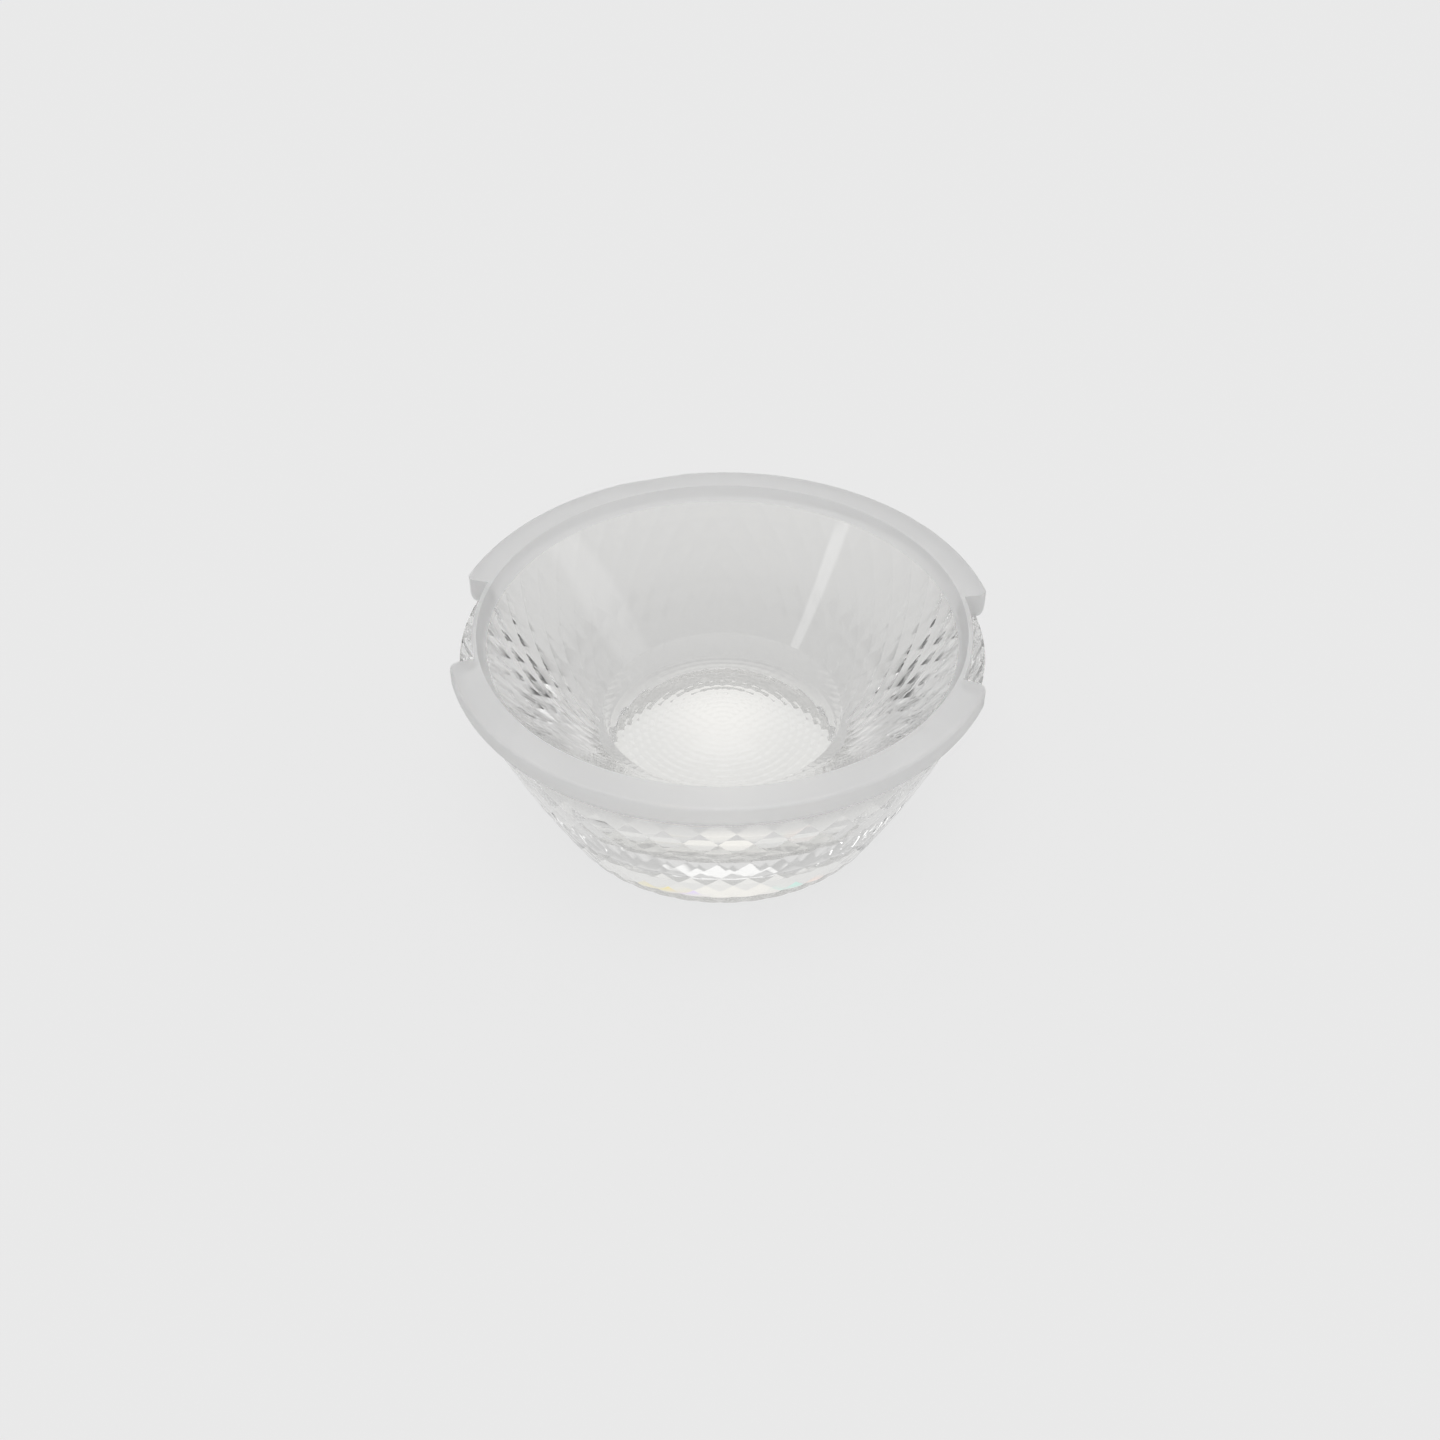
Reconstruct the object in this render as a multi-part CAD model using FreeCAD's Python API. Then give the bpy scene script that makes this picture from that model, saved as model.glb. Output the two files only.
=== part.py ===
import FreeCAD, Part
import math
import os

# A clear moulded lens for a recessed downlight, one solid piece of acrylic.
# Origin: centre of the flat base. +Z runs along the optical axis to the side the light leaves by.
# All sizes are in millimetres and all angles in degrees, counted from +X towards +Y.

# Flange
flange_diameter = 50.0
flange_thickness = 2.4
flange_top_round = 0.3
flange_lower_round = 1.0

# Whole lens
overall_height = 20.0

# Reflecting wall: flat diamond cells in staggered rows, between the base and the flange
wall_base_radius = 16.4
wall_top_inset = 1.0
wall_bulge = 0.4
cells_around = 48
cell_rows = 10
first_corner_angle = -91.0
wall_root = 1.2

# Front bowl, with a steep lip at its mouth, inside a flat front face of this width
front_face_width = 2.7
lip_depth = 1.4
lip_taper = 0.8
bowl_depth = 10.4
bowl_floor_radius = 11.4

# Well under the bowl, with the domed face of the central lens as its floor
well_depth = 2.6
well_taper = 0.5
front_dome = 0.6

# Pocket for the light source, cut into the base. Its straight wall leans in at the top to meet
# the entry face of the central lens, which bulges down into the pocket but stays above that wall.
pocket_radius = 10.8
pocket_wall_height = 2.8
pocket_depth = 3.8
pocket_roof_inset = 0.5
pocket_lens_bulge = 0.8

# Two locating notches, each cut from the rim through the whole thickness of the flange
notch_depth = 2.3
notch_corner_round = 1.0
left_notch_middle = 179.8
left_notch_angle = 29.4
right_notch_middle = -7.2
right_notch_angle = 31.0

# Flat on the rim where the moulding gate was trimmed off
gate_flat_depth = 0.4
gate_angle = 106.5

# How far cutting tools run past the faces that they cut
overrun = 2.0

flange_radius = flange_diameter / 2
flange_underside = overall_height - flange_thickness
wall_top_radius = flange_radius - wall_top_inset
lip_radius = flange_radius - front_face_width
mouth_radius = lip_radius - lip_taper
well_floor_radius = bowl_floor_radius - well_taper
entry_lens_radius = pocket_radius - pocket_roof_inset
notch_floor_radius = flange_radius - notch_depth


def at(radius, angle, height):
    """A point given by its distance from the axis, its angle in degrees and its height."""
    turn = math.radians(angle)
    return FreeCAD.Vector(radius * math.cos(turn), radius * math.sin(turn), height)


def section(radius, height):
    """A point of a half section, in the XZ plane."""
    return FreeCAD.Vector(radius, 0, height)


def line(start, end):
    return Part.LineSegment(start, end).toShape()


def arc(start, middle, end):
    return Part.Arc(start, middle, end).toShape()


def cap_arc(edge_radius, edge_height, rise):
    """Half of a spherical cap in the half section, from its rim to the axis. A negative rise sags."""
    ball_radius = (edge_radius ** 2 + rise ** 2) / (2 * abs(rise))
    spread = math.asin(edge_radius / ball_radius)
    sign = math.copysign(1, rise)
    ball_height = edge_height + rise - sign * ball_radius
    half_radius = ball_radius * math.sin(spread / 2)
    half_height = ball_height + sign * ball_radius * math.cos(spread / 2)
    rim = section(edge_radius, edge_height)
    middle = section(half_radius, half_height)
    top = section(0, edge_height + rise)
    return arc(rim, middle, top)


def turned(edges):
    """The solid that a closed half section makes when it turns about the axis."""
    face = Part.Face(Part.Wire(edges))
    return face.revolve(FreeCAD.Vector(0, 0, 0), FreeCAD.Vector(0, 0, 1), 360)


def rounded_corner(centre, radius, from_angle, to_angle):
    """A quarter of a circle in the half section, about a centre given as a section point."""
    points = []
    for angle in (from_angle, (from_angle + to_angle) / 2, to_angle):
        turn = math.radians(angle)
        step = FreeCAD.Vector(radius * math.cos(turn), 0, radius * math.sin(turn))
        points.append(centre + step)
    return arc(points[0], points[1], points[2])


def flange_disc():
    """The flange as a full disc with its two outer edges rounded."""
    lower_centre = section(flange_radius - flange_lower_round, flange_underside + flange_lower_round)
    upper_centre = section(flange_radius - flange_top_round, overall_height - flange_top_round)
    lower_round = rounded_corner(lower_centre, flange_lower_round, -90, 0)
    upper_round = rounded_corner(upper_centre, flange_top_round, 0, 90)
    underside_centre = section(0, flange_underside)
    top_centre = section(0, overall_height)
    underside_edge = section(flange_radius - flange_lower_round, flange_underside)
    top_edge = section(flange_radius - flange_top_round, overall_height)
    rim_low = section(flange_radius, flange_underside + flange_lower_round)
    rim_high = section(flange_radius, overall_height - flange_top_round)
    return turned([
        line(underside_centre, underside_edge),
        lower_round,
        line(rim_low, rim_high),
        upper_round,
        line(top_edge, top_centre),
        line(top_centre, underside_centre),
    ])


def wall_radius(height):
    """Distance of a cell corner from the axis, on a cone that bulges a little at half height."""
    share = height / flange_underside
    straight = wall_base_radius + (wall_top_radius - wall_base_radius) * share
    return straight + wall_bulge * 4 * share * (1 - share)


def row_heights():
    """Heights of the rows of corners: cells grow with the wall's radius, so they keep their shape."""
    growth = (wall_top_radius / wall_base_radius) ** (1 / cell_rows)
    steps = [growth ** row for row in range(cell_rows)]
    heights = [0.0]
    for step in steps:
        heights.append(heights[-1] + step * flange_underside / sum(steps))
    return heights


def faceted_wall():
    """The solid inside the reflecting wall. Every row of corners is turned by half a cell."""
    pitch = 360 / cells_around
    rings = []
    for row, height in enumerate(row_heights()):
        turn = first_corner_angle + pitch / 2 * (row % 2)
        ring = [at(wall_radius(height), turn + pitch * cell, height) for cell in range(cells_around)]
        rings.append(ring)
    faces = []
    for row in range(cell_rows):
        lower = rings[row]
        upper = rings[row + 1]
        lead = row % 2
        for cell in range(cells_around):
            after = (cell + 1) % cells_around
            rising = [lower[cell], lower[after], upper[(cell + lead) % cells_around]]
            hanging = [upper[cell], upper[after], lower[(cell + 1 - lead) % cells_around]]
            faces.append(Part.Face(Part.makePolygon(rising + rising[:1])))
            faces.append(Part.Face(Part.makePolygon(hanging + hanging[:1])))
    root = FreeCAD.Vector(0, 0, wall_root)
    rooted = [corner + root for corner in rings[-1]]
    for cell in range(cells_around):
        after = (cell + 1) % cells_around
        side = [rings[-1][cell], rings[-1][after], rooted[after], rooted[cell], rings[-1][cell]]
        faces.append(Part.Face(Part.makePolygon(side)))
    faces.append(Part.Face(Part.makePolygon(rings[0] + rings[0][:1])))
    faces.append(Part.Face(Part.makePolygon(rooted + rooted[:1])))
    shell = Part.makeShell(faces)
    shell.sewShape()
    return Part.makeSolid(Part.Shell(shell.Faces))


def front_cavity():
    """Lip, bowl and well as one turned tool, with the domed lens face as its lower end."""
    bowl_floor = overall_height - bowl_depth
    well_floor = bowl_floor - well_depth
    dome_centre = section(0, well_floor + front_dome)
    dome_edge = section(well_floor_radius, well_floor)
    above = section(0, overall_height + overrun)
    above_lip = section(lip_radius, overall_height + overrun)
    lip = section(lip_radius, overall_height)
    mouth = section(mouth_radius, overall_height - lip_depth)
    bowl_edge = section(bowl_floor_radius, bowl_floor)
    return turned([
        line(dome_centre, above),
        line(above, above_lip),
        line(above_lip, lip),
        line(lip, mouth),
        line(mouth, bowl_edge),
        line(bowl_edge, dome_edge),
        cap_arc(well_floor_radius, well_floor, front_dome),
    ])


def source_pocket():
    """The pocket in the base. Its roof bulges down as the entry face of the central lens."""
    below = section(0, -overrun)
    below_edge = section(pocket_radius, -overrun)
    wall_top = section(pocket_radius, pocket_wall_height)
    roof_edge = section(entry_lens_radius, pocket_depth)
    roof_centre = section(0, pocket_depth - pocket_lens_bulge)
    return turned([
        line(below, below_edge),
        line(below_edge, wall_top),
        line(wall_top, roof_edge),
        cap_arc(entry_lens_radius, pocket_depth, -pocket_lens_bulge),
        line(roof_centre, below),
    ])


def notch(middle, angle):
    """A notch in the flange: a sector with radial sides and outer corners rounded into the rim."""
    half = angle / 2
    outside = flange_radius + overrun
    centre_distance = flange_radius - notch_corner_round
    lean = math.degrees(math.asin(notch_corner_round / centre_distance))
    side_end = math.sqrt(centre_distance ** 2 - notch_corner_round ** 2)
    z = flange_underside
    corner_middle_turn = (90 - lean) / 2
    sides = []
    for sign in (-1, 1):
        centre_angle = middle + sign * (half + lean)
        centre = at(centre_distance, centre_angle, z)
        side_start = at(notch_floor_radius, middle + sign * half, z)
        side_tangent = at(side_end, middle + sign * half, z)
        corner_step = at(notch_corner_round, centre_angle - sign * corner_middle_turn, 0)
        rim_tangent = at(flange_radius, centre_angle, z)
        clear = at(outside, centre_angle, z)
        sides.append((side_start, side_tangent, centre + corner_step, rim_tangent, clear))
    first, last = sides
    outline = [
        arc(first[0], at(notch_floor_radius, middle, z), last[0]),
        line(last[0], last[1]),
        arc(last[1], last[2], last[3]),
        line(last[3], last[4]),
        arc(last[4], at(outside, middle, z), first[4]),
        line(first[4], first[3]),
        arc(first[3], first[2], first[1]),
        line(first[1], first[0]),
    ]
    return Part.Face(Part.Wire(outline)).extrude(FreeCAD.Vector(0, 0, flange_thickness + overrun))


def gate_cut():
    """A block that leaves the flat of the trimmed gate on the rim."""
    width = flange_diameter
    block = Part.makeBox(gate_flat_depth + overrun, width, flange_thickness + overrun)
    block.translate(FreeCAD.Vector(flange_radius - gate_flat_depth, -width / 2, flange_underside))
    block.rotate(FreeCAD.Vector(0, 0, 0), FreeCAD.Vector(0, 0, 1), gate_angle)
    return block


def downlight_lens():
    """The whole lens: flange and reflecting wall, less the cavities, the notches and the gate flat."""
    body = flange_disc().fuse(faceted_wall())
    body = body.cut(front_cavity())
    body = body.cut(source_pocket())
    body = body.cut(notch(left_notch_middle, left_notch_angle))
    body = body.cut(notch(right_notch_middle, right_notch_angle))
    body = body.cut(gate_cut())
    return body.Solids[0]


os.makedirs("parts", exist_ok=True)
lens = downlight_lens()
lens.exportStep("parts/downlight_lens.step")
print("downlight_lens: valid", lens.isValid(), "volume", round(lens.Volume, 1), "faces", len(lens.Faces))
box = lens.optimalBoundingBox()
print("size", round(box.XLength, 3), round(box.YLength, 3), round(box.ZLength, 3), "base at", round(box.ZMin, 4))
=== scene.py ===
import math

import bmesh
import bpy
import numpy as np
from mathutils import Matrix, Vector


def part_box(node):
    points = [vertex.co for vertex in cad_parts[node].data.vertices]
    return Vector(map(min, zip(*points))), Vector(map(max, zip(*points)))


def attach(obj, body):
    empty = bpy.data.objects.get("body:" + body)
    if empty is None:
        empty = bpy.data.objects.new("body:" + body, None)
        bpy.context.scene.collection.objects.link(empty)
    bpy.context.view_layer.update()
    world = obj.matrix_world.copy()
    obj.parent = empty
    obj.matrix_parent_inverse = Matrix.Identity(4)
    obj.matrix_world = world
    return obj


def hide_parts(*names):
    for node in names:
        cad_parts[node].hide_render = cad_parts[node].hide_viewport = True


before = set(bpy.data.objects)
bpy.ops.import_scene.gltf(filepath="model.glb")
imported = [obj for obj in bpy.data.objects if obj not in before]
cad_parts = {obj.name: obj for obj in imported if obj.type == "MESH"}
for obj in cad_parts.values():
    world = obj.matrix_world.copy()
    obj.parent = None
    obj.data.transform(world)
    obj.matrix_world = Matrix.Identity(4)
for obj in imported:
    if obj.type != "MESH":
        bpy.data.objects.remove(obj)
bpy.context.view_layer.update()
mm = 0.001
scene = bpy.context.scene
scene.view_settings.view_transform = "Standard"

# Camera. It stands in front of the lens and looks down into the bowl, aimed a little below the
# middle of the flat front face.
low_corner, high_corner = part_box("downlight_lens")
flange_radius = min(-low_corner.y, high_corner.y)
lens_height = high_corner.z
camera_distance = 6 * flange_radius
camera_elevation = math.radians(37.29)
camera_pitch = math.radians(40.80)
camera_yaw = math.radians(0.12)
camera_roll = math.radians(-0.30)
camera_data = bpy.data.cameras.new("camera")
camera_data.sensor_width = 36
camera_data.lens = 41.1
camera_data.clip_start = 0.01
camera_data.clip_end = 20
camera = bpy.data.objects.new("camera", camera_data)
to_camera = Vector((0, -math.cos(camera_elevation), math.sin(camera_elevation)))
stand = Matrix.Translation(Vector((0, 0, lens_height)) + to_camera * camera_distance)
turned = Matrix.Rotation(camera_yaw, 4, "Z")
tilted = Matrix.Rotation(math.pi / 2 - camera_pitch, 4, "X")
rolled = Matrix.Rotation(camera_roll, 4, "Z")
camera.matrix_world = stand @ turned @ tilted @ rolled
scene.collection.objects.link(camera)
scene.camera = camera


class Socket:
    """An output in a shader's node tree. Arithmetic on it adds Math nodes to the tree."""

    def __init__(self, tree, output=None):
        self.tree = tree
        self.output = output

    def node(self, kind, settings=None, inputs=None, output=0):
        """Adds a node: its settings first, then a value or a link for each named socket."""
        node = self.tree.nodes.new(kind)
        for name, setting in (settings or {}).items():
            setattr(node, name, setting)
        for name, term in (inputs or {}).items():
            if isinstance(term, Socket):
                self.tree.links.new(term.output, node.inputs[name])
            else:
                node.inputs[name].default_value = term
        return Socket(self.tree, node.outputs[output] if node.outputs else None)

    def math(self, operation, first, second=0.0):
        return self.node("ShaderNodeMath", {"operation": operation}, {0: first, 1: second})

    def vector(self, operation, first, second=None, output="Value"):
        """Adds a Vector Math node for one or two vectors."""
        inputs = {0: first} if second is None else {0: first, 1: second}
        return self.node("ShaderNodeVectorMath", {"operation": operation}, inputs, output)

    def __add__(self, other):
        return self.math("ADD", self, other)

    __radd__ = __add__

    def __sub__(self, other):
        return self.math("SUBTRACT", self, other)

    def __rsub__(self, other):
        return self.math("SUBTRACT", other, self)

    def __mul__(self, other):
        return self.math("MULTIPLY", self, other)

    __rmul__ = __mul__

    def __lt__(self, other):
        return self.math("LESS_THAN", self, other)

    def __gt__(self, other):
        return self.math("GREATER_THAN", self, other)

    def step(self, start, end):
        """Rises smoothly from 0 to 1 as this value goes from start to end."""
        settings = {"interpolation_type": "SMOOTHSTEP"}
        return self.node("ShaderNodeMapRange", settings, {0: self, 1: start, 2: end})


# Backdrop. A white tent round the table, lit from outside: brighter low at the back and at its
# top, with a soft lamp at the back, a narrow one on the left and a wide one on the right.
tent_tone = 0.62
back_light = 0.18
back_light_start = 0.6
back_light_full = 0.95
back_light_fades = 0.30
back_light_ends = 0.50
top_light = 0.22
top_light_start = 0.80
top_light_full = 0.95
# Each lamp: its direction, the direction across it, half its width and half its length in
# degrees, and its strength.
lamps = (
    ((0.0, 0.83, 0.56), (1.0, 0.0, 0.0), 14.0, 12.0, 0.6),
    ((-0.694, -0.137, 0.709), (-0.688, 0.423, -0.592), 3.5, 16.0, 2.2),
    ((0.782, 0.044, 0.622), (-0.544, -0.441, 0.715), 12.0, 16.0, 0.9),
)
world = bpy.data.worlds.new("tent")
world.use_nodes = True
world.node_tree.nodes.clear()
scene.world = world
tent = Socket(world.node_tree)
direction = tent.node("ShaderNodeTexCoord", output="Generated")
backward = tent.node("ShaderNodeSeparateXYZ", None, {0: direction}, "Y")
upward = tent.node("ShaderNodeSeparateXYZ", None, {0: direction}, "Z")
low_down = 1 - upward.step(back_light_fades, back_light_ends)
tone = tent_tone + back_light * low_down * backward.step(back_light_start, back_light_full)
tone = tone + top_light * upward.step(top_light_start, top_light_full)
for aim, across_lamp, half_width, half_length, strength in lamps:
    facing = tent.vector("DOT_PRODUCT", direction, aim)
    off_middle = tent.vector("DOT_PRODUCT", direction, across_lamp)
    off_middle = tent.math("ABSOLUTE", off_middle)
    long_edge = math.cos(math.radians(half_length))
    side_edge = math.sin(math.radians(half_width))
    within_length = facing.step(long_edge, (1 + long_edge) / 2)
    within_width = 1 - off_middle.step(side_edge / 2, side_edge)
    tone = tone + strength * (within_length * within_width)
sky = tent.node("ShaderNodeBackground", None, {"Color": (1, 1, 1, 1), "Strength": tone})
tent.node("ShaderNodeOutputWorld", None, {"Surface": sky})

# Overhead softbox. It hangs over the table, tilted to the front, so that the soft shadow falls
# behind the lens. The glass itself doesn't show it.
softbox_light = 0.45
softbox_width = math.radians(50)
softbox_tilt = math.radians(20)
overhead_data = bpy.data.lights.new("overhead", "SUN")
overhead_data.energy = softbox_light * math.pi
overhead_data.angle = softbox_width
overhead = bpy.data.objects.new("overhead", overhead_data)
overhead.rotation_euler = (softbox_tilt, 0, 0)
overhead.visible_glossy = False
overhead.visible_transmission = False
scene.collection.objects.link(overhead)

# Dark cards. Two boards of black card stand at the ends of the table. They show only in the
# glass, where they draw the dark streaks among the cells at both sides of the bowl.
card_distance = 0.40
card_half_width = 0.34
card_height = 0.12
card_tone = 0.05
card_dye = bpy.data.materials.new("dark_card")
card_dye.use_nodes = True
card_dye.node_tree.nodes.clear()
dye = Socket(card_dye.node_tree)
dye_colour = (card_tone, card_tone, card_tone, 1)
dyed = dye.node("ShaderNodeBsdfDiffuse", None, {"Color": dye_colour})
dye.node("ShaderNodeOutputMaterial", None, {"Surface": dyed})
for end, side in (("left", -1), ("right", 1)):
    card_mesh = bpy.data.meshes.new(end + "_card")
    card_sides = (-card_half_width, card_half_width)
    corners = [(side * card_distance, y, z) for z in (0, card_height) for y in card_sides]
    card_mesh.from_pydata(corners, [], [(0, 1, 3, 2)])
    card_mesh.materials.append(card_dye)
    card = bpy.data.objects.new(end + "_card", card_mesh)
    card.visible_camera = False
    card.visible_diffuse = False
    card.visible_shadow = False
    scene.collection.objects.link(card)

# Floor. A plain pale sheet, far wider than the picture. Under the lens lies a painted pool of
# light: glowing emission patches on the floor stand in for the bright spot where the central lens
# gathers the light from above, with painted coloured fringes at its front, which show only
# through the lens.
floor_half = 2.0
floor_gap = 0.02 * mm
floor_tone = 0.807
glow_seen = 0.92
glow_in_glass = 0.75
# Each painted patch of light in the spot: the x and y of its middle, its even core and its outer
# edge in millimetres, and its colour.
painted_light_patches = (
    (0.0, 0.0, 9.0, 15.0, (0.93, 0.93, 0.92, 1)),
    (0.0, 7.0, 0.0, 8.0, (1.07, 1.06, 1.04, 1)),
    (0.5, -8.0, 2.0, 5.0, (1.12, 1.10, 1.05, 1)),
    (-4.4, -8.2, 0.0, 2.2, (1.15, 1.00, 0.40, 1)),
    (-2.6, -8.8, 0.0, 1.8, (0.95, 0.82, 1.20, 1)),
    (5.0, -8.0, 0.0, 2.0, (0.72, 1.08, 0.98, 1)),
    (7.0, -8.0, 0.0, 1.8, (1.10, 0.92, 0.85, 1)),
)
floor_mesh = bpy.data.meshes.new("floor")
corners = [(-1, -1), (1, -1), (1, 1), (-1, 1)]
corners = [(x * floor_half, y * floor_half, -floor_gap) for x, y in corners]
floor_mesh.from_pydata(corners, [], [(0, 1, 2, 3)])
floor = bpy.data.objects.new("floor", floor_mesh)
scene.collection.objects.link(floor)
sheet = bpy.data.materials.new("pale_sheet")
sheet.use_nodes = True
sheet.node_tree.nodes.clear()
paper = Socket(sheet.node_tree)
floor_colour = (floor_tone, floor_tone, floor_tone, 1)
matt = paper.node("ShaderNodeBsdfDiffuse", None, {"Color": floor_colour})
plain = paper.node("ShaderNodeEmission", None, {"Color": floor_colour, "Strength": 1.0})
camera_ray = paper.node("ShaderNodeLightPath", output="Is Camera Ray")
glossy_ray = paper.node("ShaderNodeLightPath", output="Is Glossy Ray")
transmission_ray = paper.node("ShaderNodeLightPath", output="Is Transmission Ray")
in_glass = paper.math("MINIMUM", glossy_ray + transmission_ray, 1)
glow = glow_seen * camera_ray + glow_in_glass * in_glass
shown = paper.node("ShaderNodeMixShader", None, {0: glow, 1: matt, 2: plain})
floor_place = paper.node("ShaderNodeNewGeometry", output="Position")
# Painted light: each patch mixes in a glowing emission over the floor, seen only through the
# glass, in place of light that the lens focuses.
for x, y, core, edge, colour in painted_light_patches:
    patch_middle = (x * mm, y * mm, -floor_gap)
    from_middle = paper.vector("DISTANCE", floor_place, patch_middle)
    share = (1 - from_middle.step(core * mm, edge * mm)) * in_glass
    painted_spot_light = paper.node("ShaderNodeEmission", None, {"Color": colour, "Strength": 1.0})
    shown = paper.node("ShaderNodeMixShader", None, {0: share, 1: shown, 2: painted_spot_light})
paper.node("ShaderNodeOutputMaterial", None, {"Surface": shown})
floor_mesh.materials.append(sheet)

# Pocket for the light source, in the base of the lens. Its straight wall leans in at the top to
# meet the polished entry face of the central lens, which bulges down.
cells_around = 48
steps_across_cell = 10
columns = cells_around * steps_across_cell
first_corner = math.radians(-91)
azimuth = first_corner + 2 * math.pi * np.arange(columns) / columns


def ring(radius, height):
    """Points round the axis. Radius and height are one number each, or one for each column."""
    points = np.empty((columns, 3))
    points[:, 0] = radius * np.cos(azimuth)
    points[:, 1] = radius * np.sin(azimuth)
    points[:, 2] = height
    return points


def cap_height(radius, edge_radius, rise):
    """Height of a spherical cap above its edge, at a distance from the axis."""
    ball = (edge_radius ** 2 + rise ** 2) / (2 * rise)
    return rise - ball + math.sqrt(ball ** 2 - radius ** 2)


pocket_radius = 10.8 * mm
pocket_wall_height = 2.8 * mm
pocket_depth = 3.8 * mm
pocket_roof_inset = 0.5 * mm
entry_lens_radius = pocket_radius - pocket_roof_inset
entry_lens_bulge = 0.8 * mm
entry_rings = 24
rings = []
for k in range(1, entry_rings + 1):
    radius = entry_lens_radius * k / entry_rings
    bulge = cap_height(radius, entry_lens_radius, entry_lens_bulge)
    rings.append(ring(radius, pocket_depth - bulge))
rings.append(ring(pocket_radius, pocket_wall_height))
rings.append(ring(pocket_radius, 0))
entry_centre = (0, 0, pocket_depth - entry_lens_bulge)

# Reflecting wall. Polished diamond cells in staggered rows, each swelling a little in its middle,
# and all growing with the wall from the base to the flange.
flange_thickness = 2.4 * mm
flange_underside = lens_height - flange_thickness
wall_base_radius = 16.4 * mm
wall_top_inset = 1.0 * mm
wall_top_radius = flange_radius - wall_top_inset
wall_bulge = 0.4 * mm
cell_rows = 10
cell_swell = 0.08 * mm
steps_per_row = steps_across_cell // 2
growth = (wall_top_radius / wall_base_radius) ** (1 / cell_rows)
row_steps = growth ** np.arange(cell_rows)
row_heights = np.concatenate([[0], np.cumsum(row_steps)]) * flange_underside / row_steps.sum()
wall_limit = -low_corner.x
wall_start = len(rings)
column = np.arange(columns)
for j in range(cell_rows * steps_per_row + 1):
    height = np.interp(j / steps_per_row, np.arange(cell_rows + 1), row_heights)
    share = height / flange_underside
    radius = wall_base_radius + (wall_top_radius - wall_base_radius) * share
    radius += wall_bulge * 4 * share * (1 - share)
    rising = (column + j) % steps_across_cell / steps_across_cell
    falling = (column - j) % steps_across_cell / steps_across_cell
    swell = 2 * cell_swell * (rising * (1 - rising) + falling * (1 - falling))
    rings.append(ring(np.minimum(radius + swell, wall_limit), height))
wall_end = len(rings) - 1

# Flange and front bowl. The flange has rounded outer edges and a flat front face; inside it a
# steep lip, a smooth polished cone and a short well lead down to the central lens.
flange_top_round = 0.3 * mm
flange_lower_round = 1.0 * mm
round_steps = 12
front_face_width = 2.7 * mm
lip_radius = flange_radius - front_face_width
lip_depth = 1.4 * mm
lip_taper = 0.8 * mm
mouth_radius = lip_radius - lip_taper
bowl_depth = 10.4 * mm
bowl_floor_radius = 11.4 * mm
well_depth = 2.6 * mm
well_taper = 0.5 * mm
well_floor_radius = bowl_floor_radius - well_taper
rounds = (
    (flange_lower_round, flange_underside + flange_lower_round, -90),
    (flange_top_round, lens_height - flange_top_round, 0),
)
for size, centre_height, start in rounds:
    for k in range(round_steps + 1):
        turn = math.radians(start + 90 * k / round_steps)
        radius = flange_radius - size + size * math.cos(turn)
        rings.append(ring(radius, centre_height + size * math.sin(turn)))
rings.append(ring(lip_radius, lens_height))
rings.append(ring(mouth_radius, lens_height - lip_depth))
rings.append(ring(bowl_floor_radius, lens_height - bowl_depth))
well_floor = lens_height - bowl_depth - well_depth
rings.append(ring(well_floor_radius, well_floor))

# Central lens. Its domed front face carries rings of small moulded pillows, which blur the
# light source. Each ring has a few pillows more than the one inside it.
front_dome = 0.6 * mm
pillow_rings = 15
pillow_height = 0.05 * mm
pillows_more = 4
steps_per_pillow = 6
dome_rings = pillow_rings * steps_per_pillow
for k in range(dome_rings - 1, 0, -1):
    radius = well_floor_radius * k / dome_rings
    pillow_ring = k // steps_per_pillow
    across = k % steps_per_pillow / steps_per_pillow
    pillows = round(pillows_more * (pillow_ring + 0.5))
    along = (azimuth / (2 * math.pi) * pillows + 0.5 * (pillow_ring % 2)) % 1
    pillow = 2 * pillow_height * (across * (1 - across) + along * (1 - along))
    dome = cap_height(radius, well_floor_radius, front_dome)
    rings.append(ring(radius, well_floor + dome + pillow))
front_centre = (0, 0, well_floor + front_dome)

# The moulding. Faces join ring to ring, creased along the edges of the cells, and a fan closes
# each face of the central lens at its middle.
faces = []
for j in range(len(rings) - 1):
    row = j - wall_start
    for i in range(columns):
        a = j * columns + i
        b = j * columns + (i + 1) % columns
        c = a + columns
        d = b + columns
        if wall_start <= j < wall_end and (i - row) % steps_across_cell == 0:
            faces += [(a, b, d), (a, d, c)]
        elif wall_start <= j < wall_end and (i + row + 1) % steps_across_cell == 0:
            faces += [(a, b, c), (b, d, c)]
        else:
            faces.append((a, b, d, c))
points = np.concatenate(rings).tolist()
entry_point = len(points)
front_point = entry_point + 1
last_ring = entry_point - columns
for i in range(columns):
    after = (i + 1) % columns
    faces.append((entry_point, after, i))
    faces.append((front_point, last_ring + i, last_ring + after))
moulding = bpy.data.meshes.new("clear_lens")
moulding.from_pydata(points + [entry_centre, front_centre], [], faces)
lens = bpy.data.objects.new("clear_lens", moulding)
scene.collection.objects.link(lens)

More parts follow.
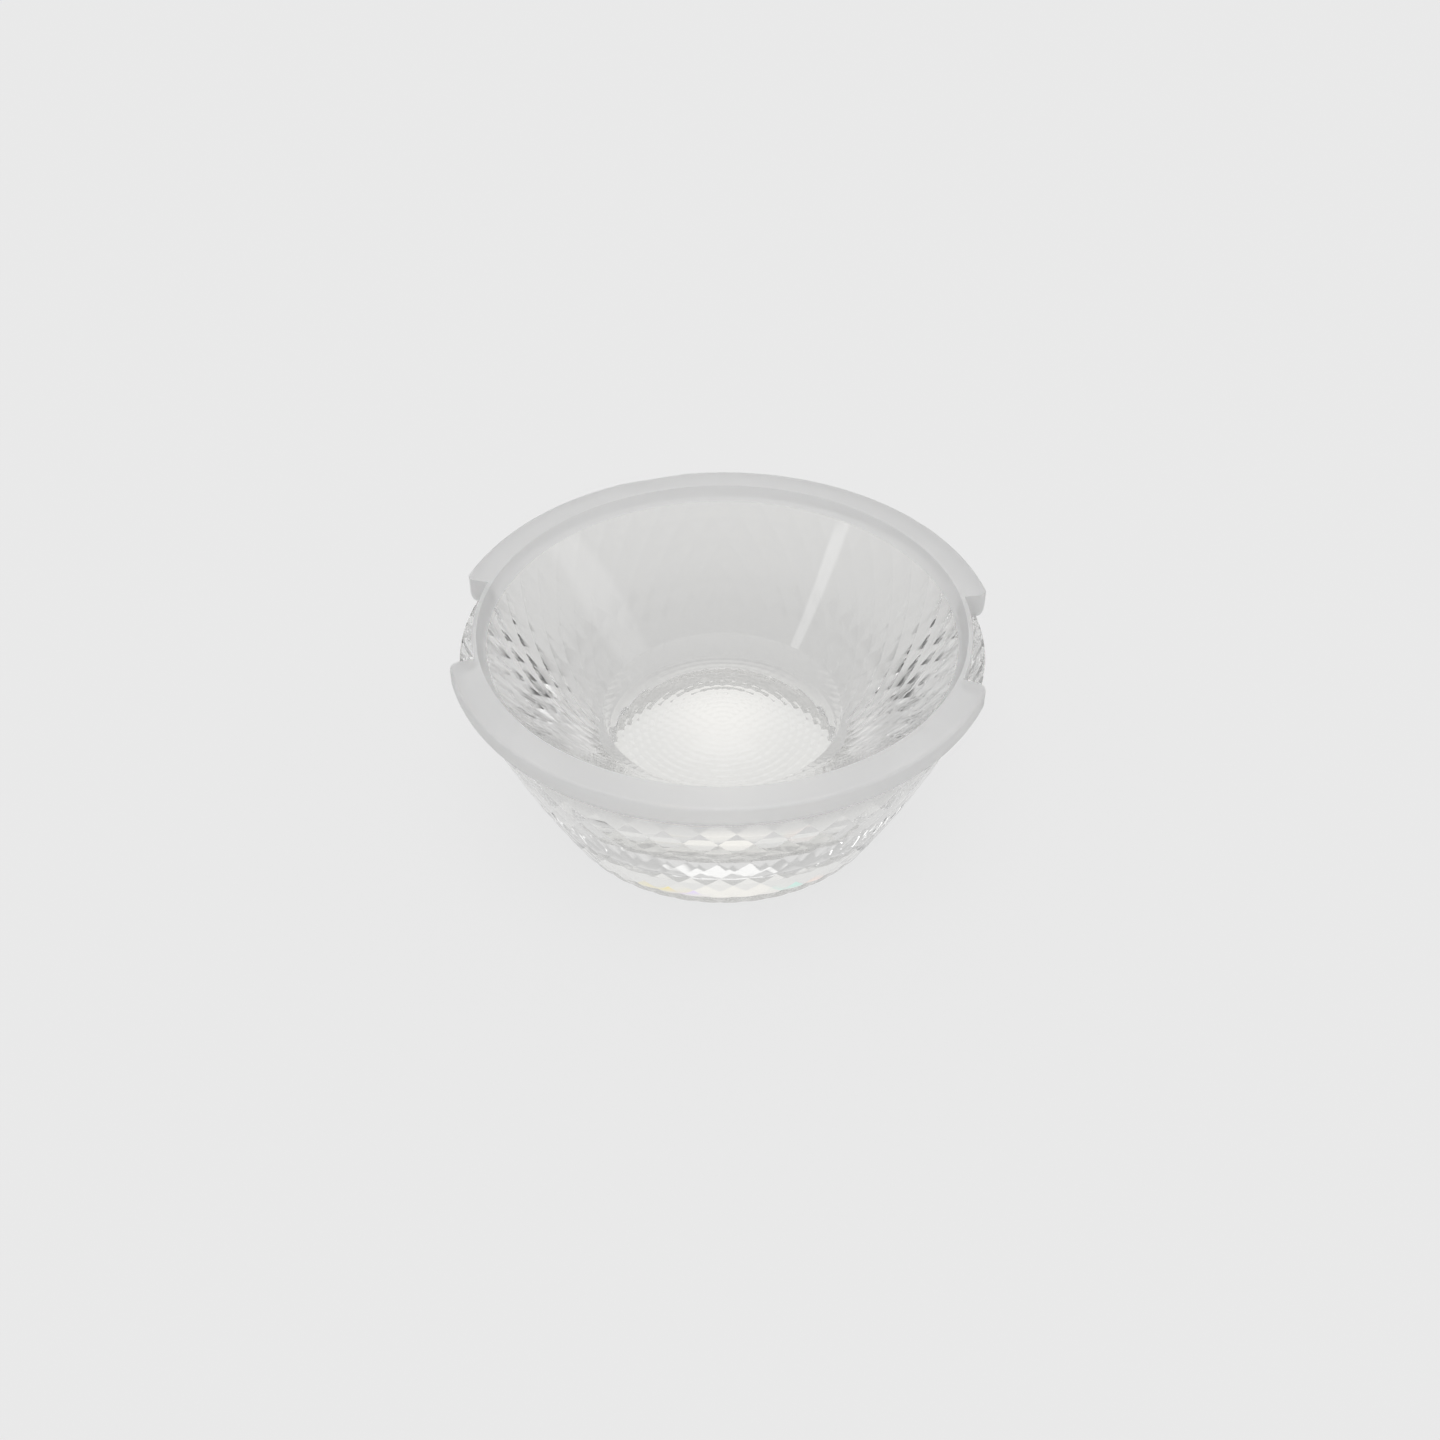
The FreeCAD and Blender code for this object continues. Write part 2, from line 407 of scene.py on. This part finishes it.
# Notches and gate flat. Two locating notches with rounded outer corners go through the flange,
# and the rim has a small flat where the moulding gate was trimmed off.
notch_depth = 2.3 * mm
notch_floor_radius = flange_radius - notch_depth
notch_corner_round = 1.0 * mm
notches = (("left_notch", 179.8, 29.4), ("right_notch", -7.2, 31.0))
notch_steps = 40
corner_steps = 12
gate_flat_depth = 0.4 * mm
gate_flat_radius = flange_radius - gate_flat_depth
gate_angle = 106.5
gate_half_width = 8 * mm
overrun = 2 * mm
lower_overrun = 0.002 * mm
cut_start = flange_underside - lower_overrun


def notch_outline(angle):
    """A sector about the X axis with rounded outer corners, as (distance, angle) pairs."""
    half = math.radians(angle / 2)
    centre_distance = flange_radius - notch_corner_round
    lean = math.asin(notch_corner_round / centre_distance)
    centre = centre_distance * np.exp(1j * (half + lean))
    upper = []
    for k in range(corner_steps + 1):
        turn = half + lean - math.pi / 2 * (1 - k / corner_steps)
        corner = centre + notch_corner_round * np.exp(1j * turn)
        upper.append((abs(corner), np.angle(corner)))
    upper.append((flange_radius + overrun, half + lean))
    floor_turns = [half * (1 - 2 * k / notch_steps) for k in range(notch_steps + 1)]
    inner = [(notch_floor_radius, turn) for turn in floor_turns]
    lower = [(distance, -turn) for distance, turn in upper]
    beyond = [(flange_radius + 2 * overrun, 0)]
    return inner + lower + beyond + upper[::-1]


def cut_through(name, outline, middle):
    """Cuts an outline, turned to its place on the rim, out of the flange."""
    middle = math.radians(middle)
    flat = [(d * math.cos(turn + middle), d * math.sin(turn + middle)) for d, turn in outline]
    count = len(flat)
    cut_end = lens_height + overrun
    corners = [(x, y, cut_start) for x, y in flat] + [(x, y, cut_end) for x, y in flat]
    walls = [(k, (k + 1) % count, count + (k + 1) % count, count + k) for k in range(count)]
    ends = [tuple(range(count - 1, -1, -1)), tuple(range(count, 2 * count))]
    block_mesh = bpy.data.meshes.new(name)
    block_mesh.from_pydata(corners, [], ends + walls)
    block = bpy.data.objects.new(name, block_mesh)
    scene.collection.objects.link(block)
    cut = lens.modifiers.new(name, "BOOLEAN")
    cut.operation = "DIFFERENCE"
    cut.solver = "MANIFOLD"
    cut.object = block
    return block


blocks = [cut_through(name, notch_outline(angle), middle) for name, middle, angle in notches]
gate_corners = [
    complex(gate_flat_radius, gate_half_width),
    complex(gate_flat_radius, -gate_half_width),
    complex(flange_radius + overrun, -gate_half_width),
    complex(flange_radius + overrun, gate_half_width),
]
gate_outline = [(abs(corner), np.angle(corner)) for corner in gate_corners]
blocks.append(cut_through("gate_flat", gate_outline, gate_angle))
bpy.context.view_layer.update()
cut_lens = lens.evaluated_get(bpy.context.evaluated_depsgraph_get())
lens.data = bpy.data.meshes.new_from_object(cut_lens)
lens.modifiers.clear()
for block in blocks:
    bpy.data.objects.remove(block)

# Polish. Cells keep crisp edges on the reflecting wall, where neighbours differ by only a few
# degrees, and all other surfaces run smooth up to their real corners.
wall_crease = math.radians(2.5)
other_crease = math.radians(20)
below_flange = flange_underside - 0.001 * mm
outside_pocket = wall_base_radius - 0.1 * mm
surface = bmesh.new()
surface.from_mesh(lens.data)
for face in surface.faces:
    face.smooth = True
for edge in surface.edges:
    edge_middle = (edge.verts[0].co + edge.verts[1].co) / 2
    on_wall = edge_middle.z < below_flange and edge_middle.xy.length > outside_pocket
    edge.smooth = edge.calc_face_angle(0) < (wall_crease if on_wall else other_crease)
surface.to_mesh(lens.data)
surface.free()

# Acrylic. Clear, with a faint grey, and polished on the bowl and the reflecting wall. The flange
# and its lip are satin and slightly milky, and the front of the central lens and the wall of the
# pocket have a fine satin.
acrylic_tint = (0.84, 0.838, 0.828, 1)
acrylic_index = 1.49
flange_satin = 0.4
lens_satin = 0.08
pocket_satin = 0.12
milk_tone = 0.93
flange_milk = 0.6
milk_through = 0.5
flange_start = mouth_radius + 0.02 * mm
dome_limit = well_floor + 2 * front_dome
pocket_limit = wall_base_radius - 2 * mm
pocket_wall_start = entry_lens_radius - 0.2 * mm
light_bounces = 32
acrylic = bpy.data.materials.new("clear_acrylic")
acrylic.use_nodes = True
acrylic.node_tree.nodes.clear()
glass = Socket(acrylic.node_tree)
glass_place = glass.node("ShaderNodeTexCoord", output="Object")
height = glass.node("ShaderNodeSeparateXYZ", None, {0: glass_place}, "Z")
across_axis = glass.vector("MULTIPLY", glass_place, (1, 1, 0), "Vector")
radius = glass.vector("LENGTH", across_axis)
on_flange = (height > flange_underside) * (radius > flange_start)
on_dome = (height > well_floor) * (height < dome_limit) * (radius < well_floor_radius)
in_pocket = (height < pocket_depth) * (radius < pocket_limit)
on_pocket_wall = in_pocket * (radius > pocket_wall_start)
roughness = flange_satin * on_flange + lens_satin * on_dome + pocket_satin * on_pocket_wall
body = glass.node("ShaderNodeBsdfPrincipled", None, {
    "Base Color": acrylic_tint,
    "Roughness": roughness,
    "IOR": acrylic_index,
    "Transmission Weight": 1.0,
})
milk_colour = (milk_tone, milk_tone, milk_tone, 1)
milk = glass.node("ShaderNodeBsdfDiffuse", None, {"Color": milk_colour})
through = glass.node("ShaderNodeBsdfTranslucent", None, {"Color": milk_colour})
milk = glass.node("ShaderNodeMixShader", None, {0: milk_through, 1: milk, 2: through})
body = glass.node("ShaderNodeMixShader", None, {0: flange_milk * on_flange, 1: body, 2: milk})
glass.node("ShaderNodeOutputMaterial", None, {"Surface": body})
lens.data.materials.clear()
lens.data.materials.append(acrylic)
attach(lens, "root")
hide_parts("downlight_lens")
scene.cycles.max_bounces = light_bounces
scene.cycles.transmission_bounces = light_bounces
scene.cycles.glossy_bounces = light_bounces
